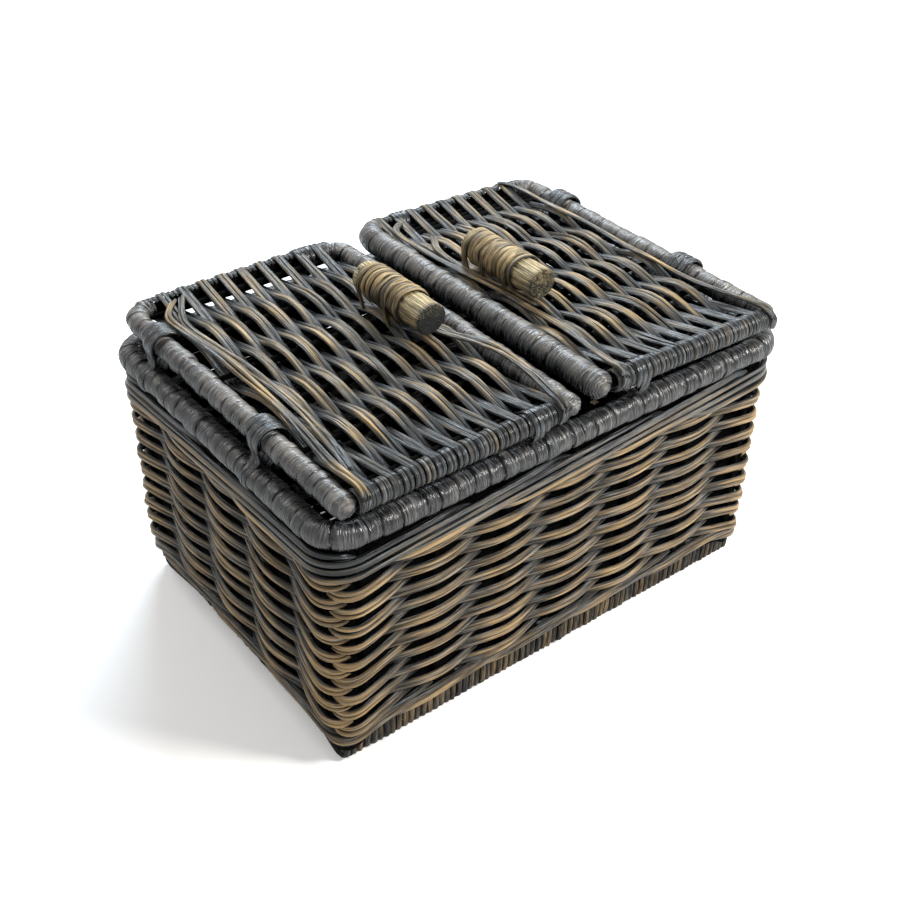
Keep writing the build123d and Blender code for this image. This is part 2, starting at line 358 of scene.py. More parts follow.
def stretched_noise(tree, grain, sizes):
    """Noise with patches of two sizes in mm, along and across the grain, spread to 0 to 1."""
    along, across = (1 / size for size in sizes)
    scaled = add_node(tree, "Mapping", {"Scale": (along, across, across)}, ("Vector", grain))
    noise = add_node(tree, "TexNoise", {"Scale": 1.0, "Detail": 2.0}, ("Vector", scaled[0]))
    span = {"From Min": NOISE_SPAN[0], "From Max": NOISE_SPAN[1]}
    return add_node(tree, "MapRange", span, ("Value", noise["Fac"]))[0]


def wood_colour(tree, worn_and_shaded, stops):
    """From stain to bare wood, by how far it is rubbed; where painted shade pushed that below nought,
    it stays at the darkest stop.
    """
    ramp = add_node(tree, "ValToRGB", {}, ("Fac", worn_and_shaded))
    elements = ramp[0].node.color_ramp.elements
    while len(elements) < len(stops):
        elements.new(0.5)
    for element, (place, text) in zip(elements, stops):
        element.position = place
        element.color = colour(text)
    return ramp["Color"]


def stained(name, stops, fibres, rubs, weights, rubbed, roughness, bump, ior, scuffs_and_glints=0.0):
    """Plant fibre under an old dark stain.

    fibres, rubs and bump are in mm, the first two along and across the strand. weights are for
    fibres, rubs and the strand's tone, added to its rubbing, which carries painted shade too. The sum
    turns stain to bare wood, rough as roughness says, over the span of rubbed; painted shade stays
    black.
    The last argument is how much shows pale blue-grey fibres, partly scuffed dust and wax, partly
    painted glints.
    """
    material = bpy.data.materials.new(name)
    tree = empty_tree(material)
    grain = known(tree, "grain")["Vector"]
    fibre = stretched_noise(tree, grain, fibres)
    fine = stretched_noise(tree, grain, [size / 2 for size in fibres])
    rub = stretched_noise(tree, grain, rubs)
    total = known(tree, "wear")["Fac"]
    for value, weight in zip((fibre, rub, known(tree, "tone")["Fac"]), weights):
        weighted = {"operation": "MULTIPLY_ADD", 1: weight}
        total = add_node(tree, "Math", weighted, (0, value), (2, total))[0]
    # Sums below the span, where painted shade was given, stay at the blackest stop.
    span = {"From Min": rubbed[0], "From Max": rubbed[1]}
    worn_and_shaded = add_node(tree, "MapRange", span, ("Value", total))[0]
    # Pale blue-grey fibres by fine noise: partly scuffed dust and wax, partly painted glints
    span = {"From Min": SCUFF_AND_GLINT_FROM, "From Max": 1.0, "To Max": scuffs_and_glints}
    pale = add_node(tree, "MapRange", span, ("Value", fine))[0]
    shade = add_node(tree, "Mix", {"data_type": "RGBA", 7: colour(SCUFF_AND_GLINT_COLOUR)},
                     (0, pale), (6, wood_colour(tree, worn_and_shaded, stops)))[2]
    span = {"To Min": roughness[0], "To Max": roughness[1]}
    rough = add_node(tree, "MapRange", span, ("Value", worn_and_shaded))[0]
    height = add_node(tree, "Math", {"operation": "MULTIPLY_ADD", 1: 0.5}, (0, fine), (2, fibre))
    relief = add_node(tree, "Bump", {"Distance": bump / PER_METRE}, ("Height", height[0]))
    surface = add_node(tree, "BsdfPrincipled", {"IOR": ior}, ("Base Color", shade),
                       ("Roughness", rough), ("Normal", relief[0]))
    add_node(tree, "OutputMaterial", {}, ("Surface", surface[0]))
    return material


# Plant fibres are 0.1 mm wide. They are drawn about 1 mm wide, so that they show.
WILLOW_FIBRES = (28.57, 10 / 11)
# Hands and cloth rub a rod in spots 20 mm long and as wide as the rod
WILLOW_RUBS = (20, 10 / 3)

# Wall rods: black as painted shade where they dive behind a stake, rubbed dusty tan where they bow out
wall_willow = stained(
    "stained_willow_wall",
    ((0, "020202"), (0.2, "13110f"), (0.45, "3e372c"), (0.7, "776447"), (1, "b6986a")),
    fibres=WILLOW_FIBRES, rubs=WILLOW_RUBS, weights=(0.8, 0.6, 0.3), rubbed=(0.35, 2.5),
    scuffs_and_glints=0.35, roughness=(0.32, 0.6), bump=0.4, ior=1.35)
# Lid rods: blue-black in the dives, darkened there as painted shade, grey on the slopes, rubbed tan on
# the crests
lid_willow = stained(
    "stained_willow_lid",
    ((0, "020203"), (0.2, "111315"), (0.45, "34322d"), (0.7, "695633"), (1, "ae8f57")),
    fibres=WILLOW_FIBRES, rubs=WILLOW_RUBS, weights=(0.8, 0.6, 0.3), rubbed=(0.4, 2.5),
    scuffs_and_glints=0.3, roughness=(0.24, 0.56), bump=0.35, ior=1.5)
# Border rods: long, smooth, grey-brown, with bluish scuffed fibres that are partly painted glints
border_willow = stained(
    "stained_willow_border",
    ((0, "030303"), (0.25, "101112"), (0.5, "302f2c"), (0.75, "63543b"), (1, "a88a5a")),
    fibres=(66.67, 1.25), rubs=(33.33, 4), weights=(0.45, 0.5, 0.3), rubbed=(0.35, 2.1),
    scuffs_and_glints=0.22, roughness=(0.28, 0.54), bump=0.3, ior=1.45)
# Stakes, cross sticks and linings: almost black as painted shade, since they are seen only in the gaps
stake_willow_in_shade = stained(
    "stained_willow_stake_shade_dark",
    ((0, "020202"), (0.7, "0a0908"), (1, "1a1714")),
    fibres=(25, 10 / 9), rubs=(20, 25 / 3), weights=(0.4, 0.4, 0.2), rubbed=(0.5, 2.0),
    roughness=(0.75, 0.8), bump=0.2, ior=1.1)
# Foot ribs: dry and scuffed brown
foot_willow = stained(
    "scuffed_willow_foot",
    ((0, "030302"), (0.3, "1b1712"), (0.65, "4a3e2b"), (1, "836d4c")),
    fibres=(12.5, 10 / 12), rubs=(12.5, 20 / 3), weights=(0.7, 0.5, 1.0), rubbed=(0.6, 2.5),
    scuffs_and_glints=0.15, roughness=(0.5, 0.62), bump=0.3, ior=1.3)
# Rush windings: blue-grey and black threads 1.25 mm apart, straight across the rod
rush = stained(
    "wound_rush",
    ((0, "030303"), (0.3, "131313"), (0.65, "2f2d2b"), (1, "66615a")),
    fibres=(1.25, 20), rubs=(14.29, 50 / 3), weights=(1.0, 0.6, 0.2), rubbed=(0.45, 2.4),
    scuffs_and_glints=0.22, roughness=(0.22, 0.36), bump=0.45, ior=1.6)
# Freshly cut ends: pale pith
pale_pith = stained(
    "pale_pith",
    ((0, "8c7c67"), (0.6, "bcac94"), (1, "e2d5c0")),
    fibres=(5, 1), rubs=(5, 2), weights=(0.5, 0.4, 0.3), rubbed=(0.0, 1.6),
    roughness=(0.6, 0.7), bump=0.2, ior=1.4)
# Split cane round the pegs: dull tan strips with dark edges
peg_cane = stained(
    "split_cane",
    ((0, "080705"), (0.25, "2f281c"), (0.55, "75633f"), (1, "c3a774")),
    fibres=(20, 10 / 11), rubs=(14.29, 10 / 3), weights=(1.0, 0.9, 0.4), rubbed=(0.6, 2.7),
    scuffs_and_glints=0.2, roughness=(0.36, 0.55), bump=0.4, ior=1.4)
# Bark strips at the hinges: smooth blue-black with a soft shine
hinge_bark = stained(
    "hinge_bark",
    ((0, "040405"), (0.5, "151617"), (0.85, "35332f"), (1, "5a5449")),
    fibres=(20, 1), rubs=(20, 25 / 3), weights=(0.5, 0.5, 0.3), rubbed=(0.4, 2.0),
    scuffs_and_glints=0.2, roughness=(0.2, 0.34), bump=0.25, ior=1.55)
# Pegs: olive-tan wood with dark cracks and charred ends
peg_wood = stained(
    "stained_peg_wood",
    ((0, "06070a"), (0.25, "2a2922"), (0.5, "756849"), (0.8, "a59268"), (1, "cdbb90")),
    fibres=(20, 10 / 12), rubs=(14.29, 5), weights=(1.1, 0.6, 0.2), rubbed=(0.1, 2.1),
    scuffs_and_glints=0.12, roughness=(0.45, 0.62), bump=0.5, ior=1.4)


# The body


def hoop(half_x, half_y, corner, spacing, corner_spacing):
    """Points, outward directions and stake count round the body, from the front left stake on."""
    points, rays, stakes = [], [], []
    start = 0
    for side, (run, reach, count) in enumerate(((half_x, half_y, LONG_STAKES),
                                                (half_y, half_x, SHORT_STAKES)) * 2):
        out_angle = (side - 1) * pi / 2
        out = array((cos(out_angle), sin(out_angle), 0))
        ahead = array((-out[1], out[0], 0))
        straight = run - corner
        n = max(2, round(2 * straight / spacing))
        t = arange(n) / n
        points.append(out * reach + ahead * (straight * (2 * t - 1))[:, None])
        rays.append(np.repeat(out[None], n, 0))
        stakes.append(start + t * (count - 1))
        start += count - 1
        n = max(2, round(corner * pi / 2 / corner_spacing))
        t = arange(n) / n
        bend = out_angle + t * pi / 2
        ray = stack([cos(bend), sin(bend), 0 * bend], 1)
        points.append(out * (reach - corner) + ahead * straight + ray * corner)
        rays.append(ray)
        stakes.append(start + t)
        start += 1
    return np.vstack(points), np.vstack(rays), np.concatenate(stakes)


ring, ring_out, ring_stake = hoop(stake_x, stake_y, WALL_CORNER, RING_STEP, RING_CORNER_STEP)
ring_s = travelled(ring)
ring_length = ring_s[-1] + np.linalg.norm(ring[0] - ring[-1])
CORNER_STAKES = np.cumsum((LONG_STAKES, SHORT_STAKES) * 2) - 0.5
corner_away = abs(ring_stake[:, None] - CORNER_STAKES)
corner_away = np.minimum(corner_away, STAKES - corner_away).min(1)
# The stakes of the back where a rod's ends meet
BACK_STAKES = (15, 14)
ring_seams = [int(np.argmin(abs(ring_stake - stake))) for stake in BACK_STAKES]


def all_sides(kind):
    """The nodes of one kind, one on each side of the body."""
    return [kind + "_" + side for side in SIDE_NAMES]


def ring_wobble(waves, size):
    """A smooth random wave round the body."""
    return wobble(ring_s, waves, size, ring_length)


def at_corners(width):
    """1 at the body's corners and 0 away from them, by a width in stakes."""
    return exp(-(corner_away / width) ** 2)


def dipped(z):
    """Height with the corners pulled down, most at the foot and not at all under the border."""
    return z - CORNER_DIP * at_corners(0.55) * clip((ROWS_HIGH - z) / (ROWS_HIGH - wale_low), 0, 1)


def wall_weave():
    """Rows of two rods each, outside one stake and inside the next, all outside at the corners."""
    weave = Strands()
    sway = stake_radius + ROD_DEEP / 2 + ROD_CLEARANCE
    pitch = (ROWS_HIGH - ROWS_LOW) / ROW_COUNT
    corner = at_corners(0.42)
    for row in range(ROW_COUNT):
        level = ROWS_LOW + pitch * (row + 0.5)
        swing = cos(pi * ring_stake) * (-1) ** row
        depth = sway * swing * (1 + ring_wobble((150, 400), 0.1)) + CORNER_REACH * corner
        drift = ring_wobble((60, 260), 0.4)
        twist = ring_wobble((120, 500), 0.5)
        for side in (-1, 1):
            lift = side * PAIR_SPREAD * (cos(twist) * (1 - corner) + 1.07 * corner)
            push = side * PAIR_SPREAD * 0.5 * sin(twist)
            size = 1 + ring_wobble((60, 200), 0.08)
            path = ring + ring_out * (depth + push)[:, None]
            path[:, 2] = dipped(level + lift + drift + 0.4 * swing)
            # Rubbed tan where the rods bow out and round the corners; painted shade below nought turns
            # them black where they dive behind a stake
            crest = clip(0.5 + 0.7 * swing + 1.3 * corner, -0.6, 1.15 + 0.5 * corner)
            weave.add(path, ring_out, ROD_WIDE * size * (1 + 0.05 * corner), ROD_DEEP * size,
                      closed=True, crest=crest, sides=WALL_SIDES, seam=ring_seams[row % 2])
    weave.build("wall_weave", wall_willow, "basket", "willow_weave", *all_sides("wall_weave"))


def wall_shade_lining():
    """Flat rods behind the stakes, which close the rows against the light: a dark sheet of painted
    shade behind the weave.
    """
    lining = Strands()
    pitch = 5.2
    behind = 1.8
    low = foot_top + 1.5
    high = rim_z - 3
    count = round((rim_z - low) / pitch)
    bulge = CORNER_REACH * at_corners(0.45)
    for row in range(count + 1):
        depth = ring_wobble((60, 200), 0.3) - behind + bulge
        path = ring + ring_out * depth[:, None]
        path[:, 2] = dipped(low + (high - low) * row / count + 0 * ring_s)
        lining.add(path, ring_out, pitch + 0.8, 1.4, closed=True, crest=0.1, sides=LINING_SIDES,
                   seam=ring_seams[0])
    # A thick dark rod of painted shade fills the bend between wall and foot mat
    path = ring - 5.0 * ring_out
    path[:, 2] = foot_top - 0.5
    lining.add(path, ring_out, 7.0, 5.0, closed=True, crest=0.2, seam=ring_seams[0])
    lining.build("wall_shade_lining", stake_willow_in_shade, "basket", "willow_stake")


def wale(name, base, height, rods, lay, wide, deep, reach, sway, material):
    """Rods that dive behind one stake in every lay and climb as they go, like a rope's strands.

    reach is how far outside the stakes' line they run, sway how far they swing from there.
    """
    band = Strands()
    for rod in range(rods):
        phase = (ring_stake / lay - rod / rods) % 1
        from_dive = np.minimum(phase, 1 - phase) * lay
        inside = exp(-(from_dive / 0.42) ** 2)
        climb = 2 * phase - 1
        out = reach + sway * (1 - 2 * inside) - 1.1 * climb
        drift = ring_wobble((120, 400), 0.4)
        size = 1 + ring_wobble((80, 260), 0.1)
        tint = ring_wobble((90, 260), 0.15)
        path = ring + ring_out * (out + ring_wobble((80, 300), 0.2))[:, None]
        rise = climb * sqrt(1 - inside) * (height - wide) / 2
        path[:, 2] = dipped(base + height / 2 + rise + drift)
        # Painted shade: the amount goes below nought, so the rod turns black, where it dives behind a
        # stake
        crest = (1 - 1.5 * inside) * (0.75 - 0.6 * climb + tint)
        band.add(path, ring_out, wide * size, deep * size, closed=True, crest=crest,
                 seam=ring_seams[0], sides=WALE_SIDES, flute=0.1)
    band.build(name, material, "basket", "willow_border", *all_sides(name))


def stakes():
    """The upright rods, from the foot up into the rim."""
    posts = Strands()
    foot = foot_top
    top = rim_z - rim_radius + 1
    for stake in range(STAKES):
        i = np.argmin(abs(ring_stake - stake))
        heights = np.linspace(foot, top, 8)
        path = ring[i] + UP * heights[:, None]
        path[:, :2] += random.normal(0, 0.3, 2) * (heights[:, None] - foot) / (top - foot)
        posts.add(path, ring_out[i], 2 * stake_radius, 2 * stake_radius, crest=0.4)
    posts.build("stakes", stake_willow_in_shade, "basket", "willow_stake", *all_sides("stakes"))


def foot_weaver(x, turn, edge, places):
    """Keys of one weaver of the mat, which turns round the outer stick at both ends."""
    mid_z = foot_top / 2
    top = foot_top + FOOT_RISE
    lean = random.normal(0.5, 0.6)
    bulge = random.normal(0, 0.25)
    half_round = ((-10, top - 1.6), (-5, top - 1.1), (-1.2, top - 2.4), (-0.2, top - 6), (0, mid_z),
                  (-0.4, 4), (-1.6, 2.5), (-4, 1.8), (-10, 1.8))
    ribs = [(x + lean * (z / top - 0.5), edge + y + bulge, z) for y, z in half_round]
    keys = [(rib_x, -y, z) for rib_x, y, z in ribs]
    keys += [(x, y, mid_z + turn * (-1) ** k * 3.0) for k, y in enumerate(places)]
    return keys + ribs[::-1]


def foot():
    """A mat of weavers that turn round the outer foot sticks and show there as ribs."""
    mat = Strands()
    rib_pitch = 4.1
    rib_deep = 2.6
    mid_z = foot_top / 2
    edge = foot_y - rib_deep / 2 + 1.8
    stick_count = 4
    pitch = 2 * (edge - 6) / (stick_count + 1)
    places = [pitch * (k + 1) - (edge - 6) for k in range(stick_count)]
    count = round(2 * (foot_x - 2) / rib_pitch)
    for i in range(count + 1):
        x = (foot_x - 2) * (2 * i / count - 1) + random.normal(0, 0.2)
        line = smooth_line(foot_weaver(x, (-1) ** i, edge, places), 2.4)
        past = clip(abs(line[:, 1]) - edge + 8, 0, 8)
        outward = stack([0 * past, np.sign(line[:, 1]) * past, (line[:, 2] - mid_z) * 0.5 + 0.01], 1)
        at_edge = clip((past - 2) / 5, 0.1, 1)
        wide = rib_pitch * random.uniform(0.88, 1.0)
        mat.add(line, unit(outward), wide, rib_deep * (0.7 + 0.3 * at_edge), crest=0.6 * at_edge,
                sides=FLAT_SIDES)
    outer_deep = foot_top + FOOT_RISE - 5.0
    sticks = [(y, 4.2, 4.2, 0.2) for y in places]
    sticks += [(y, 5.5, outer_deep, 0.1) for y in (-edge + 5, edge - 5)]
    for y, wide, deep, crest in sticks:
        path = [(t * (foot_x - 1), y, mid_z) for t in (-1, 0, 1)]
        mat.add(path, UP, wide, deep, crest=crest)
    mat.build("foot_mat", foot_willow, "basket", "foot_willow", "foot_weave", "foot_sticks",
              "foot_edge_front", "foot_edge_back")


def foot_shade_splints():
    """Flat splints between the sticks, which close the mat: almost black, painted shade inside the
    hamper.
    """
    splints = Strands()
    width = 9.6
    half = foot_y - 8
    count = round(2 * half / (width - 0.4))
    for i in range(count):
        y = half * (2 * (i + 0.5) / count - 1)
        path = [(t * (foot_x - 2), y, foot_top / 2 + random.normal(0, 0.1)) for t in (-1, 0, 1)]
        splints.add(path, UP, width, 1.0, crest=0.1, sides=FLAT_SIDES)
    splints.build("foot_shade_splints", stake_willow_in_shade, "basket", "willow_stake")


def foot_ends():
    """The foot's short ends, with the last rod bound round the stick ends."""
    ends = Strands()
    bump_pitch = 9.0
    top = foot_top + 1.0
    run = foot_y - 6
    count = round(2 * run / bump_pitch)
    for out in (-1, 1):
        for i in range(count + 1):
            y = run * (2 * i / count - 1) + random.normal(0, 0.5)
            profile = ((-8, top - 1.4), (-3.5, top - 1.0), (-1.2, top / 2), (-3.0, 2.1), (-8, 1.7))
            keys = [(out * (foot_x + x), y + random.normal(0, 0.2), z) for x, z in profile]
            line = smooth_line(keys, 1.6)
            outward = line - array((out * (foot_x - 9), 0, top / 2))
            outward[:, 1] = 0
            ends.add(line, outward, 8.0, 2.6, crest=0.8, sides=FLAT_SIDES)
        path = [(out * (foot_x - 4), t * run, foot_top / 2) for t in (-1, 0, 1)]
        ends.add(path, (out, 0, 0), top - 4, 4.0, crest=0.1)
    ends.build("foot_ends", foot_willow, "basket", "foot_willow")


# Wound rods


def rod_line(node, radius, out):
    """Middle of a lid's side rod, one radius in from its straight side, as its far end bends in."""
    low, high = box_mm(node)
    return array((high[0] - radius if out > 0 else low[0] + radius, 0, low[2] + radius))


def winding_swell(length, ridge, bundle, crack, lift, marks=()):
    """Height of wound rush: threads in bundles, with cracks between them and at the marks."""
    edges = [-1.0]
    while edges[-1] < length + bundle[1]:
        edges.append(edges[-1] + random.uniform(*bundle))
    clear = [edge for edge in edges if all(abs(edge - mark) > 6 for mark in marks)]
    edges = array(sorted(clear + list(marks)))
    heights = random.uniform(-lift, lift, len(edges))
    slants = random.uniform(-1.2, 1.2, len(edges))
    turns = random.uniform(0, TURN, len(edges))
    phase = random.uniform(0, TURN, 4)

    def swell(s, angle):
        """Height at places along the rod and angles round it."""
        warped = s + 0.4 * sin(s / 5.1 + phase[0]) + 0.4 * sin(2 * angle + s / 9 + phase[1])
        i = clip(np.searchsorted(edges, warped) - 1, 0, len(edges) - 2)
        warped = warped + slants[i] * 0.6 * sin(angle + turns[i])
        i = clip(np.searchsorted(edges, warped) - 1, 0, len(edges) - 2)
        near = np.minimum(abs(warped - edges[i]), abs(edges[i + 1] - warped))
        gap = crack * exp(-(near / 0.45) ** 2)
        barrel = 0.3 * sqrt(clip(near / 3, 0, 1))
        threads = abs(sin(pi * (warped + 0.35 * sin(angle + turns[i])) / THREAD))
        lumps = 0.15 * sin(s / 2.3 + 3 * angle + phase[2])
        lumps = lumps + 0.15 * sin(s / 6.7 - 2 * angle + phase[3])
        return heights[i] + barrel + ridge * (threads - 0.6) + lumps - gap

    return swell


def wound_hoop():
    """The rim rod with its rush, one hoop, whose ends meet under a bark strip."""
    line, out, _ = hoop(rim_x, rim_y, RIM_CORNER, RUSH_STEP, RUSH_STEP)
    line[:, 2] = rim_z
    strip = HINGE_PLACES[1]
    under_strip = int(np.argmin(np.linalg.norm(line - array((-rim_x, strip, rim_z)), axis=1)))
    s = travelled(np.roll(line, -under_strip, 0))
    bends = np.cumsum((2 * rim_x, 2 * rim_y) * 2) * s[-1] / (4 * (rim_x + rim_y))
    marks = [bend - strip - rim_y + side * RIM_CORNER * 0.9 for bend in bends for side in (-1, 1)]
    swell = winding_swell(s[-1], ridge=0.28, bundle=(7, 14), crack=1.6, lift=0.35, marks=marks)
    size = 2 * rim_radius - 0.9
    rim = Strands()
    rim.add(line, out, size, size, closed=True, sides=WOUND_SIDES, swell=swell, facing=unit(out + UP),
            crest=0.6, tone=0.5, flute=0.0, seam=under_strip)
    rim.build("rim_winding", rush, "basket", "rush_wrap", *all_sides("rim"))


def strip_round(base, rise, place):
    """A strip from the rim up round the lid's rod: distance, path, outward directions, nearness."""
    span = np.linalg.norm(rise)
    up = rise / span
    side = array((up[2], 0, -up[0]))
    loop = TURN * STRIP_RADIUS + 2 * span
    t = arange(0, STRIP_TURNS * loop, 1.2)
    around = t % loop
    half = np.where(around < loop / 2, 1, -1)
    d = around % (loop / 2)
    on_arc = clip((d - span) / STRIP_RADIUS, 0, pi)
    x = half * cos(on_arc)
    z = np.minimum(d, span) + STRIP_RADIUS * sin(on_arc)
    z = np.where(half > 0, z, span - z)
    core = clip(z, 0, span)
    at_lid = core / span
    radius = RIM_HUG + (STRIP_RADIUS - RIM_HUG) * at_lid
    drawn_in = 1 - WAIST * sin(pi * at_lid ** 0.8) ** 2
    z_round = np.where(z < 0, z * RIM_HUG / STRIP_RADIUS, z)
    path = base + (x * radius * drawn_in)[:, None] * side + z_round[:, None] * up
    path[:, 1] = place + STRIP_PITCH * (t / loop - STRIP_TURNS / 2) * (0.7 + 0.5 * at_lid)
    outward = unit((x * radius)[:, None] * side + (z - core)[:, None] * up)
    return t, path, outward, at_lid


def hinge_windings():
    """Bark strips for each lid: fat rings on its rod, drawn in between the rods."""
    strips = Strands()
    for name in ("left_lid", "right_lid"):
        out = np.sign(middle(name + "_hinge_rod")[0])
        base = array((out * rim_x, 0, rim_z))
        rise = rod_line(name + "_hinge_rod", LID_ROD_RADIUS, out) - base
        for place in HINGE_PLACES:
            t, path, outward, at_lid = strip_round(base, rise, place)
            size = (3.2 + 2.2 * at_lid) * (1 + wobble(t, (20, 60), 0.06))
            strips.add(path, outward, size, 2.2, crest=0.15 + 0.35 * at_lid)
    strips.build("hinge_strips", hinge_bark, "basket", "cane", "hinge_windings")


# The lids


class Lid:
    """A lid's own frame: X from the hinge rod inwards, Y as in the row, Z up from the rods."""

    def __init__(self, name):
        """Takes the lid's frame from the middles of its two side rods."""
        self.name = name
        out = np.sign(middle(name + "_hinge_rod")[0])
        self.origin = rod_line(name + "_hinge_rod", LID_ROD_RADIUS, out)
        end = rod_line(name + "_inner_rod", INNER_RADIUS[name], -out)
        self.length = np.linalg.norm(end - self.origin)
        self.ahead = (end - self.origin) / self.length
        self.across = array((0.0, 1.0, 0.0))
        self.up = array((-self.ahead[2] * np.sign(self.ahead[0]), 0, abs(self.ahead[0])))
        self.inner_radius = INNER_RADIUS[name]

    def turn(self, vectors):
        """Directions in the lid's frame as directions in the scene."""
        vectors = np.atleast_2d(np.asarray(vectors, float))
        return vectors[:, :1] * self.ahead + vectors[:, 1:2] * self.across + vectors[:, 2:3] * self.up

    def place(self, points):
        """Points in the lid's frame as points in the scene."""
        return self.origin + self.turn(points)


def round_rod(centre_y, angles, rub, proud=0.0):
    """Keys of place, outward direction, how far wrapped and how rubbed, round the near or far rod."""
    radius = WRAP_CORE + WRAP_DEEP / 2 + proud
    rays = [(cos(a), sin(a)) for a in np.radians(angles)]
    return [(centre_y + radius * y, radius * z, 0, y, z, 1, rub) for y, z in rays]


def weaver_keys(turn):
    """One weaver from its side: round the near rod, over and under the sticks, round the far rod."""
    ride = STICK_RADIUS + LID_DEEP / 2 - 0.1
    angles = range(300, 50, -WRAP_STEP) if turn > 0 else range(20, 320, WRAP_STEP)
    keys = round_rod(-rim_y, angles, random.uniform(0.05, 0.35))
    sign = -turn
    for y in STICK_PLACES:
        for dy, high in ((-9, 0.78), (0, 1), (9, 0.78)):
            keys.append((y + dy, sign * ride * high, 0, 0, 1, 0, 0))
        sign = -sign
    if sign > 0:
        return keys + round_rod(rim_y, range(120, -140, -WRAP_STEP), random.uniform(0.6, 1.0), 0.7)
    return keys + round_rod(rim_y, range(240, 500, WRAP_STEP), random.uniform(0.0, 0.3))


def add_pair(weave, lid, x, keys):
    """Two rods side by side that follow the same keys, flattened where they wrap a rod."""
    line = smooth_line(keys, 1.9)
    y, z = line[:, 0], line[:, 1]
    wrapped = clip(line[:, 5], 0, 1)
    free = 1 - wrapped
    drift = wobble(y, (60, 180), 0.6) * free
    twist = wobble(y, (50, 240), 0.6) * free
    slope = np.gradient(line[:, :2], axis=0)
    normal = unit(stack([0 * y, -slope[:, 1], slope[:, 0]], 1))
    facing = stack([0 * y, line[:, 3], line[:, 4]], 1)
    # Rubbed tan on the crests; painted shade below nought turns the rods black where they dive under
    # the sticks
    crest = clip(0.45 + 0.65 * z / 3.4, -0.5, 1.1) * free + line[:, 6]
    for side in (-1, 1):
        spread = side * (LID_SPREAD * cos(twist) * free + WRAP_SPREAD * wrapped)
        lift = side * 0.7 * sin(twist)
        size = 1 + wobble(y, (40, 160), 0.08)
        local = stack([x + drift + spread, y, z], 1) + normal * lift[:, None]
        wide = (LID_WIDE * free + WRAP_WIDE * wrapped) * size
        deep = (LID_DEEP * free + WRAP_DEEP * wrapped) * size
        weave.add(lid.place(local), lid.turn(normal), wide, deep, facing=lid.turn(facing), crest=crest)


def lid_weave(lid):
    """The weavers of a lid, and a last wrap at each corner by the hinge."""
    weave = Strands()
    first = LID_ROD_RADIUS + 7.5
    last = lid.length - lid.inner_radius - 3.0
    count = round((last - first) / LID_PITCH)
    for i in range(count + 1):
        x = first + (last - first) * i / count
        add_pair(weave, lid, x, weaver_keys((-1) ** i))
    for y, start in ((-rim_y, 20), (rim_y, -20)):
        add_pair(weave, lid, first - 5.9, round_rod(y, range(start, start + 360, WRAP_STEP), 0.2))
    weave.build(lid.name + "_weavers", lid_willow, lid.name, "willow_weave",
                lid.name + "_weave", lid.name + "_near_rod", lid.name + "_far_rod")


def lid_sticks(lid):
    """The near and far rods under their wraps, and the cross sticks."""
    sticks = Strands()
    for y in (-rim_y, rim_y):
        path = lid.place([(2, y, 0), (lid.length / 2, y, 0), (lid.length - 2, y, 0)])
        sticks.add(path, lid.up, 2 * WRAP_CORE, 2 * WRAP_CORE, sides=CORE_SIDES, crest=0.2)
    for y in STICK_PLACES + PACKING_RODS[lid.name]:
        path = lid.place([(4, y, 0), (lid.length / 2, y, 0), (lid.length - 5, y, 0)])
        sticks.add(path, lid.up, 2 * STICK_RADIUS, 2 * STICK_RADIUS, crest=0.3)
    sticks.build(lid.name + "_sticks", stake_willow_in_shade, lid.name, "willow_stake",
                 lid.name + "_cross_sticks")


def wound_bar(lid, x, inward, radius, node, past_corner):
    """A rod wound with rush: blunt and folded at the near end, bent into the far rod at the other."""
    near_end = -rim_y - past_corner
    tail_points = 6
    straight = arange(near_end, rim_y - LID_CORNER, RUSH_STEP)
    bend = arange(0, pi / 2, RUSH_STEP / LID_CORNER)
    turned = rim_y - LID_CORNER + LID_CORNER * sin(bend)
    path_y = np.concatenate([straight, turned, [rim_y] * tail_points])
    tail = LID_CORNER + RUSH_STEP * arange(tail_points)
    path_x = np.concatenate([0 * straight, LID_CORNER * (1 - cos(bend)), tail])
    s = arange(len(path_y)) * RUSH_STEP
    sway = wobble(s, (120, 300), 0.12)
    local = stack([x + inward * (path_x + sway), path_y, 0 * path_y], 1)
    swell = winding_swell(s[-1], ridge=0.24, bundle=(6, 16), crack=1.2, lift=0.4)
    blunt = radius * 0.9
    edge = clip(s / blunt, 0.03, 1)
    round_off = sqrt(1 - (1 - edge) ** 2)
    slim = clip((s[-1] - s) / 14, 0, 1)
    size = 2 * (radius - 0.5) * round_off
    size = size * slim + 2 * (WRAP_CORE + 1.2) * (1 - slim)
    folds = 0.55 * clip(1 - s / (1.4 * blunt), 0, 1)[:, None] * clip(s / 2, 0, 1)[:, None]

    def folded(at, angle):
        """The winding's height, with folds at the blunt end."""
        return swell(at, angle) * round_off[:, None] ** 2 + folds * sin(7 * angle + at / 3)

    bar = Strands()
    bar.add(lid.place(local), lid.up, size, size, sides=WOUND_SIDES, facing=lid.up, crest=1.3, tone=0.5,
            flute=0.0, swell=folded)
    bar.build(node + "_winding", rush, lid.name, "rush_wrap", node)


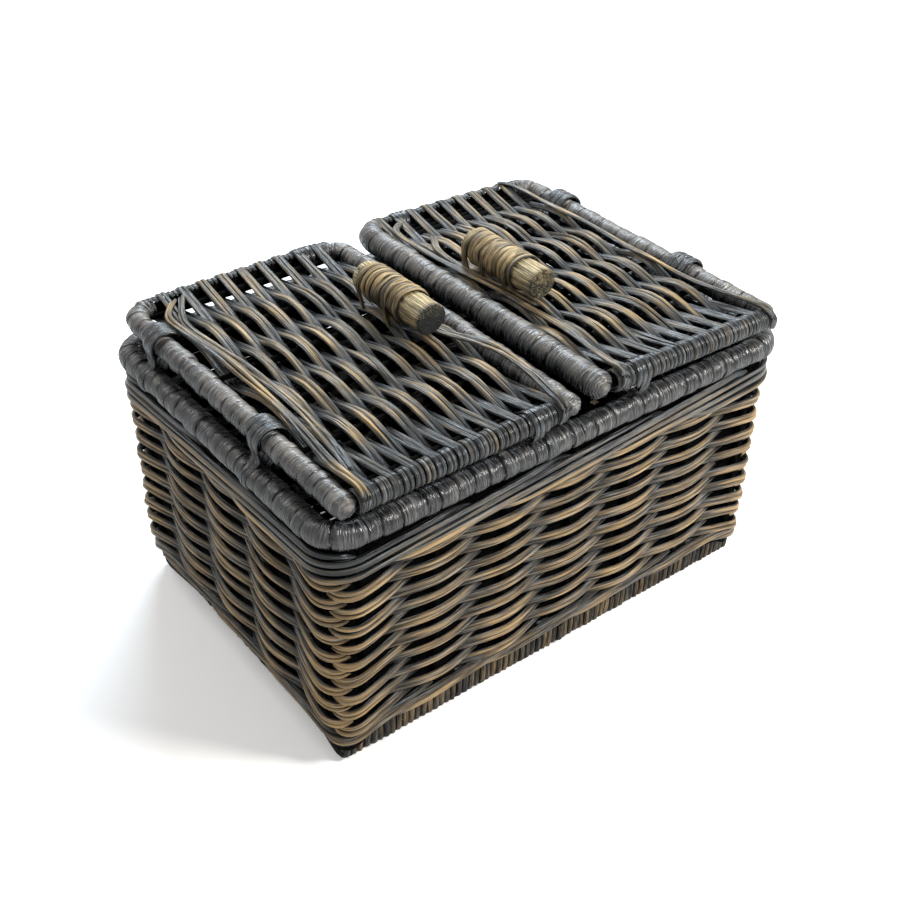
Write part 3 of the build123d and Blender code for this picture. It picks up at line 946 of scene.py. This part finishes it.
# Places along the lid, across it and above its rods of the loose strands by the side rods
LOOSE_STRANDS = {
    "left_lid": (
        ((24, 99, 4), (13, 84, 6), (9.5, 68, 8), (12, 45, 7), (14, 20, 7), (14, -20, 7),
         (11, -55, 8), (8, -84, 8), (8, -97, 8.5), (8.2, -106, 8), (8, -112, 3.5), (8, -110, -4)),
        ((29, 100, 5), (19, 80, 5), (14, 60, 7.5), (16.5, 38, 7), (20, 4, 6), (21, -30, 6.5),
         (18, -62, 7), (13, -92, 6)),
        ((112, 22, 4), (121, -16, 6), (128, -38, 8), (132, -57, 8.6), (131, -80, 8.6),
         (128, -98, 8.4), (127, -106, 8), (126.5, -112, 3.5), (126, -110, -4)),
    ),
    "right_lid": (
        ((22, 106, 7.5), (17, 98, 7), (14.5, 70, 6.4), (13.5, 30, 6.6), (14, -10, 6.2), (14, -49, 6.4),
         (11, -80, 7), (8, -97, 8.2), (6, -105, 8.2), (4, -111, 4.0), (4, -111.3, -3)),
        ((108, 96, 5), (119, 84, 7), (121, 60, 7), (119, 31, 7.2), (114, -10, 6.4), (112, -50, 6.4),
         (115, -84, 7), (117, -99, 7.8), (117, -107, 7.6), (117, -112, 3), (117, -110, -4)),
        ((102, 70, 5), (112, 52, 6), (114, 25, 6), (108, -8, 5.6), (106, -30, 5)),
    ),
}


def loose_strands(lid):
    """Slack rods that lie over the weave beside the side rods and curl round the near corners."""
    slack = Strands()
    for keys in LOOSE_STRANDS[lid.name]:
        line = smooth_line(keys, 2.0)
        s = travelled(line)
        normal = unit(stack([0 * s, clip(-(line[:, 1] + rim_y) / 8, 0, 1), np.ones(len(s))], 1))
        for side in (-1, 1):
            size = 1 + wobble(s, (30, 90), 0.14)
            aside = side * (1.0 + wobble(s, (60, 140), 0.3))
            local = line + stack([aside, 0 * s, side * 0.4 + wobble(s, (40, 90), 0.4)], 1)
            inner = sin(pi * clip(s / s[-1], 0, 1)) ** 0.5
            crest = 0.45 + 0.5 * inner + wobble(s, (50, 120), 0.35)
            slack.add(lid.place(local), lid.turn(normal), 2.6 * size, 2.2 * size, crest=crest)
    slack.build(lid.name + "_loose_strands", lid_willow, lid.name, "willow_weave")


# A peg's rounded end: share of its radius, and distance in from the end
PEG_END = ((0.97, 0.7), (0.9, 0.3), (0.72, 0.25), (0.48, 0.35), (0.24, 0.3))


def peg_cracks(ys, angle):
    """Depth of a peg's lengthwise cracks at places along it and angles round it."""
    cracks = np.zeros((len(ys), len(angle)))
    for place in random.uniform(0, TURN, 12):
        wander = place + wobble(ys, (20, 60), 0.06)
        away = np.angle(exp(1j * (angle[None] - wander[:, None])))
        depth = clip(0.35 + wobble(ys, (15, 50), 0.4), 0, 1) * random.uniform(0.3, 1.0)
        cracks += depth[:, None] * exp(-(away / 0.075) ** 2)
    return cracks


def peg(lid, burnt):
    """A stained peg with lengthwise cracks; burnt says how dark its near end is."""
    low, high = box_mm(lid.name + "_toggle")
    centre = middle(lid.name + "_toggle")
    radius = (high[2] - low[2]) / 2 - 0.4
    angle = arange(PEG_SIDES) * TURN / PEG_SIDES
    body_y = np.linspace(low[1] + 1.4, high[1] - 1.4, 64)
    share, inset = array(PEG_END).T
    ys = np.concatenate([low[1] + inset[::-1], body_y, high[1] - inset])
    scale = np.concatenate([share[::-1], np.ones(len(body_y)), share])
    lumps = 0
    for k in (1, 2, 3, 5):
        lumps = lumps + random.normal(0, 0.14) * sin(k * angle + random.uniform(0, TURN))
    waves = wobble(ys, (15, 60), 0.2)
    cracks = peg_cracks(ys, angle)
    reach = (radius + lumps[None] + waves[:, None]) * scale[:, None] - cracks
    reach = np.maximum(reach, radius * scale[:, None] * 0.8)
    chipped = (1 - scale)[:, None] * random.normal(0, 0.3, reach.shape)
    along = ys[:, None] + chipped - 0.3 * cracks * (scale < 1)[:, None]
    points = stack([centre[0] + reach * cos(angle), along, centre[2] + reach * sin(angle)], 2)
    grain = stack([ys[:, None] + 0 * reach, reach * cos(angle), reach * sin(angle)], 2)
    near = clip((ys - low[1]) / 4, 0, 1)
    far = clip((high[1] - ys) / 2, 0, 1)
    # Paler on the upper half; darker at the charred near end, at the far end and in the cracks
    wear = 0.45 + 0.5 * clip(sin(angle), 0, 1)[None] - burnt * (1 - near)[:, None]
    wear = wear - 0.35 * (1 - far)[:, None] - 1.1 * clip(cracks, 0, 0.6)
    wood = Strands()
    start = wood.add_points(points, grain, wear, 0.5)
    wood.skin(start, len(ys), PEG_SIDES, False)
    wood.faces = [face[::-1] for face in wood.faces]
    for ring_at, way in ((0, 1), (len(ys) - 1, -1)):
        wood.close_end(start + ring_at * PEG_SIDES, PEG_SIDES, way, points[ring_at].mean(0),
                       grain[ring_at].mean(0), 0.5, wear[ring_at].mean())
    wood.build(lid.name + "_peg", peg_wood, lid.name, "toggle_wood", lid.name + "_toggle")


# Start along the peg from its near end, turns, strip width and slant of each group of cane
CANE_GROUPS = {
    "left_lid": ((16.5, 2, 4.4, 2.6), (29.0, 5, 4.4, 1.0)),
    "right_lid": ((15.0, 1, 3.4, 2.0), (20.0, 5, 3.7, 0.8), (42.0, 2, 5.6, 1.2)),
}


def peg_lashing(lid):
    """Flat cane wound round the peg, each group led down into the lid on both sides."""
    low, high = box_mm(lid.name + "_toggle")
    centre = (low + high) / 2
    radius = (high[2] - low[2]) / 2
    drop = centre[2] - lid.origin[2] - 2.0
    thick = 1.5
    reach = radius + thick / 2 - 0.35
    cane = Strands()
    for start, turns, wide, slant in CANE_GROUPS[lid.name]:
        y = low[1] + start
        tucked = [(reach * (1 - 0.3 * t), -3 - (drop - 3) * t) for t in (1, 0.66, 0.33, 0)]
        keys = [(aside, y - slant, down, 1, 0) for aside, down in tucked]
        for a in arange(0, (turns + 0.5) * TURN + 0.1, TURN / 16):
            out = reach + random.uniform(-0.15, 0.5)
            along = y + wide * 1.02 * a / TURN + slant * sin(a - 0.6) + random.normal(0, 0.2)
            keys.append((out * cos(a), along, out * sin(a), cos(a), sin(a)))
        end = keys[-1][1]
        keys += [(-aside, end + slant * 0.4, down, -1, 0) for aside, down in reversed(tucked)]
        line = smooth_line(keys, 1.4)
        outward = unit(stack([line[:, 3], 0 * line[:, 3], line[:, 4]], 1))
        path = array((centre[0], 0, centre[2])) + line[:, :3]
        s = travelled(line)
        size = 1 + wobble(s, (15, 50), 0.12)
        crest = clip(0.5 + 0.5 * line[:, 4], 0, 1) + wobble(s, (20, 60), 0.25)
        cane.add(path, outward, wide * size, thick, crest=crest, flute=0.12)
    cane.build(lid.name + "_lashing", peg_cane, lid.name, "cane", lid.name + "_lashings")


def rest_pads(lid):
    """Dark strips by the inner corners, thick enough below to land on the rim."""
    pads = Strands()
    pad_length = 12.0
    strip = 3.4
    around = 2.6 * TURN
    start = lid.length - LID_CORNER - lid.inner_radius - pad_length + strip / 2
    drop = lid.origin[2] + (start + pad_length / 2) * lid.ahead[2] - rim_z - rim_radius - 0.9
    side_reach = LID_ROD_RADIUS + 0.3
    for end in (-1, 1):
        keys = []
        for a in arange(0, around, TURN / 16):
            below = drop if sin(a) < 0 else side_reach
            along = start + (pad_length - strip) * a / around
            keys.append((along, end * rim_y + side_reach * cos(a), below * sin(a),
                         cos(a), sin(a)))
        line = smooth_line(keys, 1.6)
        outward = stack([0 * line[:, 3], line[:, 3], line[:, 4]], 1)
        pads.add(lid.place(line[:, :3]), lid.turn(outward), strip, 1.2, crest=0.3, tone=0.0)
    pads.build(lid.name + "_rest_pads", hinge_bark, lid.name, "cane")


def cut_ends():
    """Stake tips cut off inside the front rim, whose pale ends show under the lids."""
    tips = Strands()
    pale = Strands()
    high = rim_z + 2.0
    y = -rim_y + rim_radius + 6.0
    for x, lean in ((4.0, 0.1), (24.0, -0.15), (52.0, 0.2), (82.0, 0.1), (111.0, -0.1)):
        slope = array((lean, -0.12, -1.0))
        top = array((x, y, high))
        tips.add([top + slope * d for d in (1.0, 12.0, 26.0)], (0, 1, 0), 5.0, 3.6, crest=0.2)
        pale.add([top + slope * d for d in (0.0, 0.6, 1.2)], (0, 1, 0), 5.4, 4.0, crest=1.0, tone=1.0)
    tips.build("cut_tips", stake_willow_in_shade, "basket", "willow_stake")
    pale.build("cut_ends", pale_pith, "basket", "willow_stake")


wall_weave()
wall_shade_lining()
wale("bottom_wale", base=wale_low + 3.0, height=wale_high - wale_low + 3.5, rods=3, lay=4,
     wide=3.4, deep=3.4, reach=0.6, sway=3.0, material=wall_willow)
wale("top_border", base=border_low - 2.5, height=border_high - border_low + 5.5, rods=4, lay=6,
     wide=2.8, deep=3.2, reach=3.4, sway=2.4, material=border_willow)
stakes()
foot()
foot_shade_splints()
foot_ends()
wound_hoop()
hinge_windings()
for lid, burnt, hinge_end in ((Lid("left_lid"), 1.4, 5.0), (Lid("right_lid"), 0.8, 1.0)):
    lid_weave(lid)
    lid_sticks(lid)
    wound_bar(lid, 0.0, 1, LID_ROD_RADIUS, lid.name + "_hinge_rod", hinge_end)
    wound_bar(lid, lid.length, -1, lid.inner_radius, lid.name + "_inner_rod", 5.0)
    loose_strands(lid)
    peg(lid, burnt)
    peg_lashing(lid)
    rest_pads(lid)
cut_ends()


# Floor, light and camera

HAMPER_MIDDLE = (0, 0, 0.08)
CAMERA_PLACE = (-0.387, -0.494, 0.538)
CAMERA_DEGREES = (-38.1, 36.0, 0.89)


def seen_directly(tree):
    """1 for rays straight from the camera, off gloss or through glass, and otherwise 0."""
    path = add_node(tree, "LightPath", {})
    seen = path["Is Camera Ray"]
    for ray in ("Is Glossy Ray", "Is Transmission Ray"):
        seen = add_node(tree, "Math", {"operation": "MAXIMUM"}, (0, seen), (1, path[ray]))[0]
    return seen


def floor():
    """Matt pale paper that goes to white under the lights and keeps the hamper's shadow."""
    half = 6.0
    paper = bpy.data.materials.new("pale_paper")
    tree = empty_tree(paper)
    place = add_node(tree, "TexCoord", {})["Object"]
    away = add_node(tree, "VectorMath", {"operation": "LENGTH"}, (0, place))["Value"]
    fade = {"From Min": 0.6, "From Max": 2.0, "To Min": 0.25, "To Max": 0.75}
    far_glow = add_node(tree, "MapRange", fade, ("Value", away))[0]
    glow = add_node(tree, "Math", {"operation": "MULTIPLY"},
                    (0, seen_directly(tree)), (1, far_glow))[0]
    matt = {"Base Color": colour("f0f0f0"), "Roughness": 0.9, "Emission Color": (1, 1, 1, 1)}
    surface = add_node(tree, "BsdfPrincipled", matt, ("Emission Strength", glow))
    add_node(tree, "OutputMaterial", {}, ("Surface", surface[0]))
    mesh = bpy.data.meshes.new("floor")
    corners = [(-half, -half, 0), (half, -half, 0), (half, half, 0), (-half, half, 0)]
    mesh.from_pydata(corners, [], [(0, 1, 2, 3)])
    mesh.materials.append(paper)
    in_scene("floor", mesh)


def surroundings():
    """A white room: soft fill for the hamper, pure white where it is seen."""
    world = bpy.data.worlds.new("white_room")
    scene.world = world
    tree = empty_tree(world)
    glow = add_node(tree, "MapRange", {"To Min": 0.32, "To Max": 1.0}, ("Value", seen_directly(tree)))
    sky = add_node(tree, "Background", {"Color": (1, 1, 1, 1)}, ("Strength", glow[0]))
    add_node(tree, "OutputWorld", {}, ("Surface", sky[0]))


def softbox(name, place, size, power, tint):
    """A round light, size in metres and power in watts, turned to the hamper."""
    data = bpy.data.lights.new(name, "AREA")
    data.shape = "DISK"
    data.size = size
    data.energy = power
    data.color = tint
    lamp = in_scene(name, data)
    lamp.location = place
    lamp.rotation_mode = "QUATERNION"
    lamp.rotation_quaternion = (Vector(HAMPER_MIDDLE) - lamp.location).to_track_quat("-Z", "Y")


def camera():
    """The photograph's view: its place, azimuth, elevation, slight roll and lens."""
    azimuth, elevation, roll = np.radians(CAMERA_DEGREES)
    level = cos(elevation)
    back = array((sin(azimuth) * level, -cos(azimuth) * level, sin(elevation)))
    right = unit(np.cross(-back, UP))
    up = np.cross(back, right)
    data = bpy.data.cameras.new("camera")
    data.sensor_width = 36.0
    data.lens = 52.24
    data.clip_start = 0.01
    view = in_scene("camera", data)
    matrix = np.eye(4)
    matrix[:3, 0] = right * cos(roll) + up * sin(roll)
    matrix[:3, 1] = up * cos(roll) - right * sin(roll)
    matrix[:3, 2] = back
    matrix[:3, 3] = CAMERA_PLACE
    view.matrix_world = Matrix(matrix.tolist())
    scene.camera = view


floor()
surroundings()
softbox("key", (0.65, -0.85, 0.95), 0.4, 24.0, (1.0, 0.98, 0.94))
softbox("glint", (0.5, 0.75, 0.95), 0.7, 20.0, (0.77, 0.89, 1.0))
softbox("fill", (-0.42, 0.72, 0.9), 0.5, 4.5, (1.0, 0.97, 0.92))
camera()
scene.view_settings.view_transform = "Standard"
